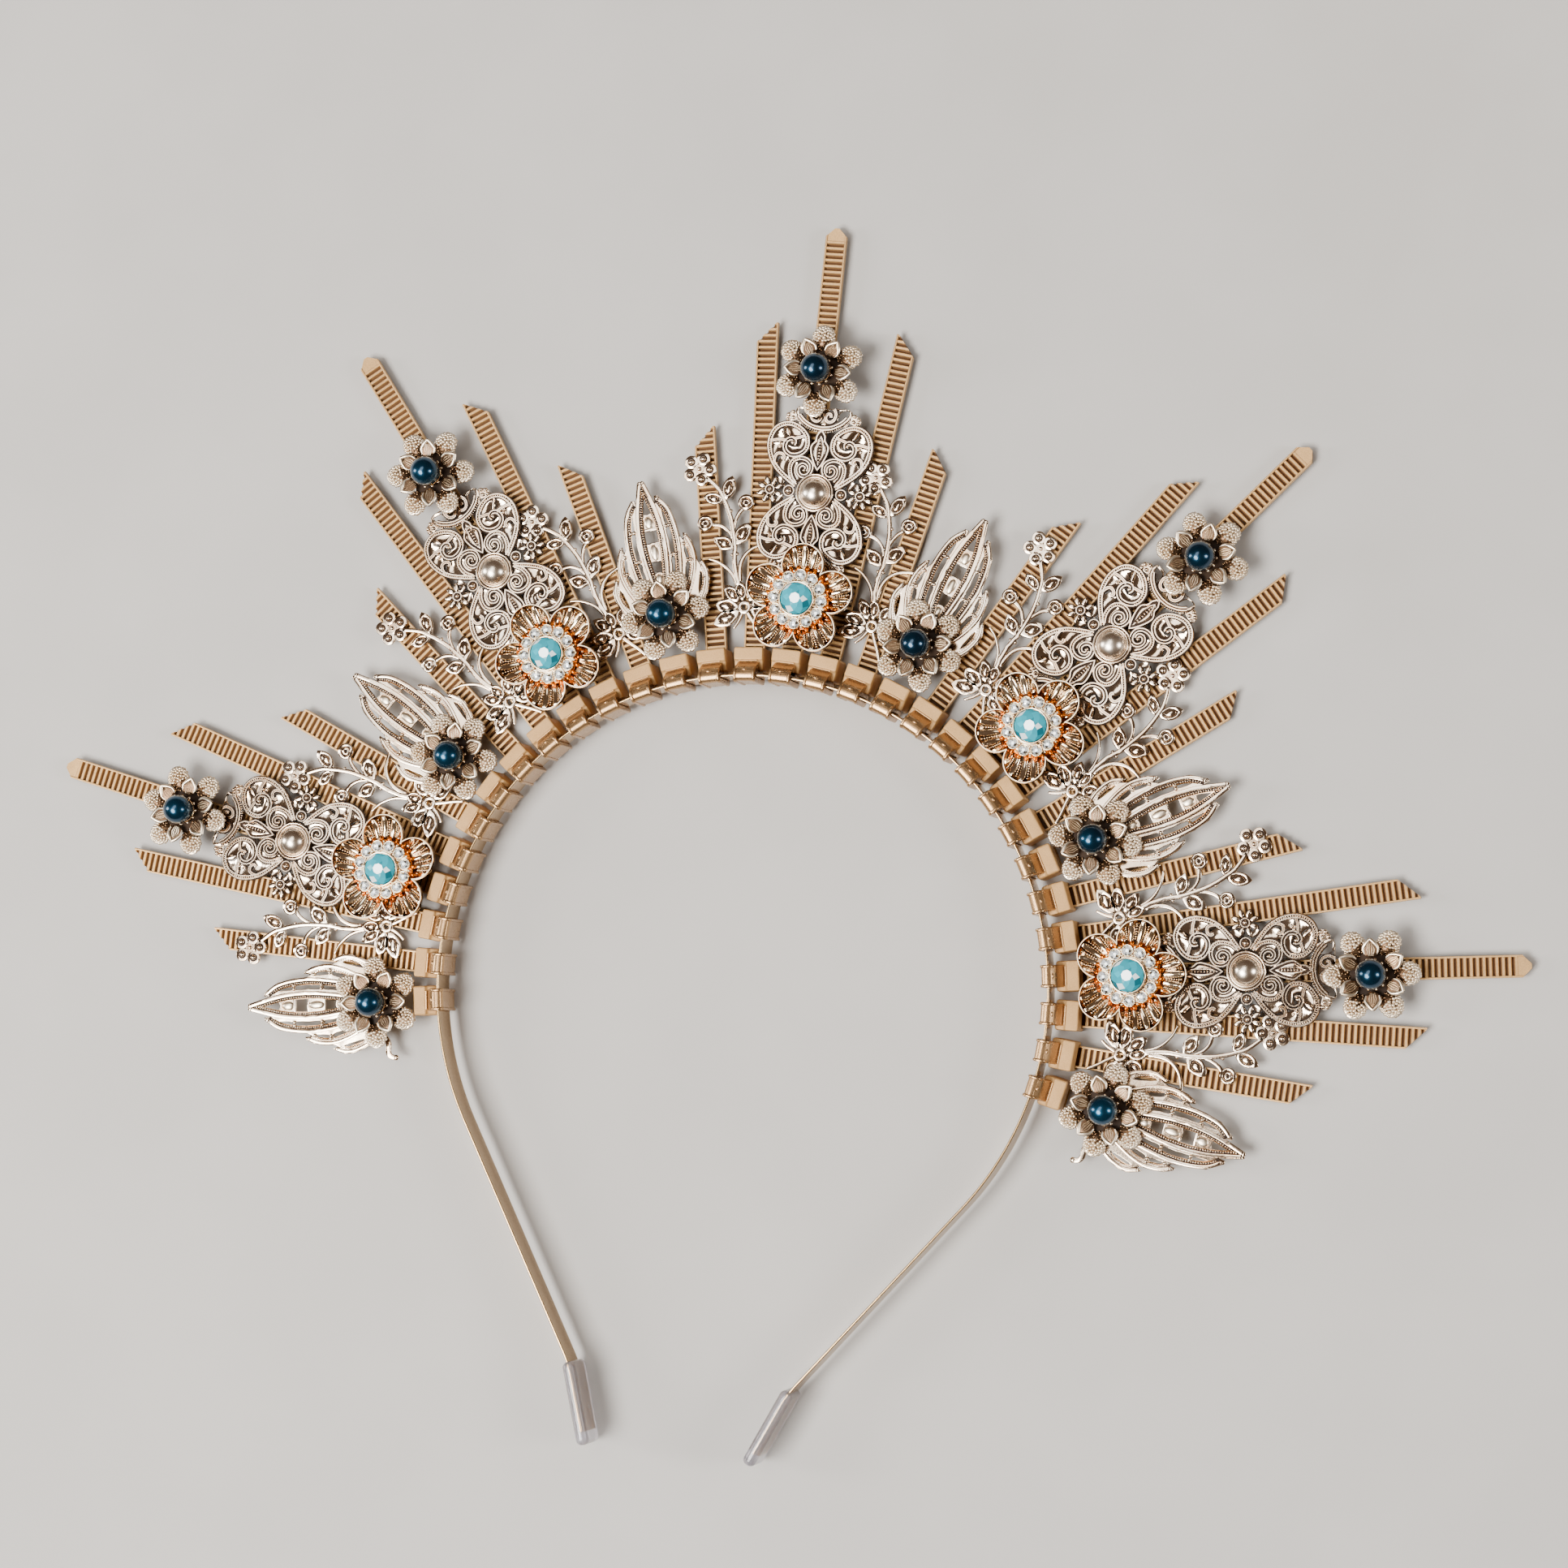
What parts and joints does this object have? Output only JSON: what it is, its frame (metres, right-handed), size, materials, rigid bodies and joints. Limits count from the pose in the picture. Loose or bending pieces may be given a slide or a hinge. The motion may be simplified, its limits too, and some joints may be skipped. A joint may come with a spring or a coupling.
{
  "type": "halo crown headband",
  "caption": "Halo crown headband: toothed cable-tie rays on an open metal band, with pierced panels, leaves, sprays, stone flowers and dark pearls.",
  "frame": {"origin": "middle of the crown's box, on the plane of its rear faces", "axes": "+X to the wearer's left as seen from the front, +Y along the top ray, +Z out of the front face"},
  "size_m": [0.3069, 0.25, 0.0131],
  "materials": {
    "band_metal": "polished",
    "clear_sleeve": "translucent satin",
    "gold_tie": "gold sprayed, fine grain",
    "pale_gold": "polished, champagne gold",
    "flower_gold": "polished",
    "aqua_stone": "faceted",
    "clear_stone": "faceted",
    "dark_pearl": "pearl lustre"
  },
  "bodies": {
    "root": {"headband": "band_metal", "end_sleeve_left": "clear_sleeve", "end_sleeve_right": "clear_sleeve", "ray_ties_1": "gold_tie", "ray_ties_2": "gold_tie", "ray_ties_3": "gold_tie", "ray_ties_4": "gold_tie", "ray_ties_5": "gold_tie", "trimmed_ties": "gold_tie", "filigree_1": "pale_gold", "filigree_2": "pale_gold", "filigree_3": "pale_gold", "filigree_4": "pale_gold", "filigree_5": "pale_gold", "leaf_1": "pale_gold", "leaf_2": "pale_gold", "leaf_3": "pale_gold", "leaf_4": "pale_gold", "leaf_5": "pale_gold", "leaf_6": "pale_gold", "spray_pair_1": "pale_gold", "spray_pair_2": "pale_gold", "spray_pair_3": "pale_gold", "spray_pair_4": "pale_gold", "spray_pair_5": "pale_gold", "stone_flower_1": "flower_gold", "stone_flower_2": "flower_gold", "stone_flower_3": "flower_gold", "stone_flower_4": "flower_gold", "stone_flower_5": "flower_gold", "blue_stone_1": "aqua_stone", "blue_stone_2": "aqua_stone", "blue_stone_3": "aqua_stone", "blue_stone_4": "aqua_stone", "blue_stone_5": "aqua_stone", "clear_stones": "clear_stone", "pearl_flower_1": "flower_gold", "pearl_flower_2": "flower_gold", "pearl_flower_3": "flower_gold", "pearl_flower_4": "flower_gold", "pearl_flower_5": "flower_gold", "pearl_flower_6": "flower_gold", "pearl_flower_7": "flower_gold", "pearl_flower_8": "flower_gold", "pearl_flower_9": "flower_gold", "pearl_flower_10": "flower_gold", "pearl_flower_11": "flower_gold", "pearl_1": "dark_pearl", "pearl_2": "dark_pearl", "pearl_3": "dark_pearl", "pearl_4": "dark_pearl", "pearl_5": "dark_pearl", "pearl_6": "dark_pearl", "pearl_7": "dark_pearl", "pearl_8": "dark_pearl", "pearl_9": "dark_pearl", "pearl_10": "dark_pearl", "pearl_11": "dark_pearl"}
  },
  "joints": []
}
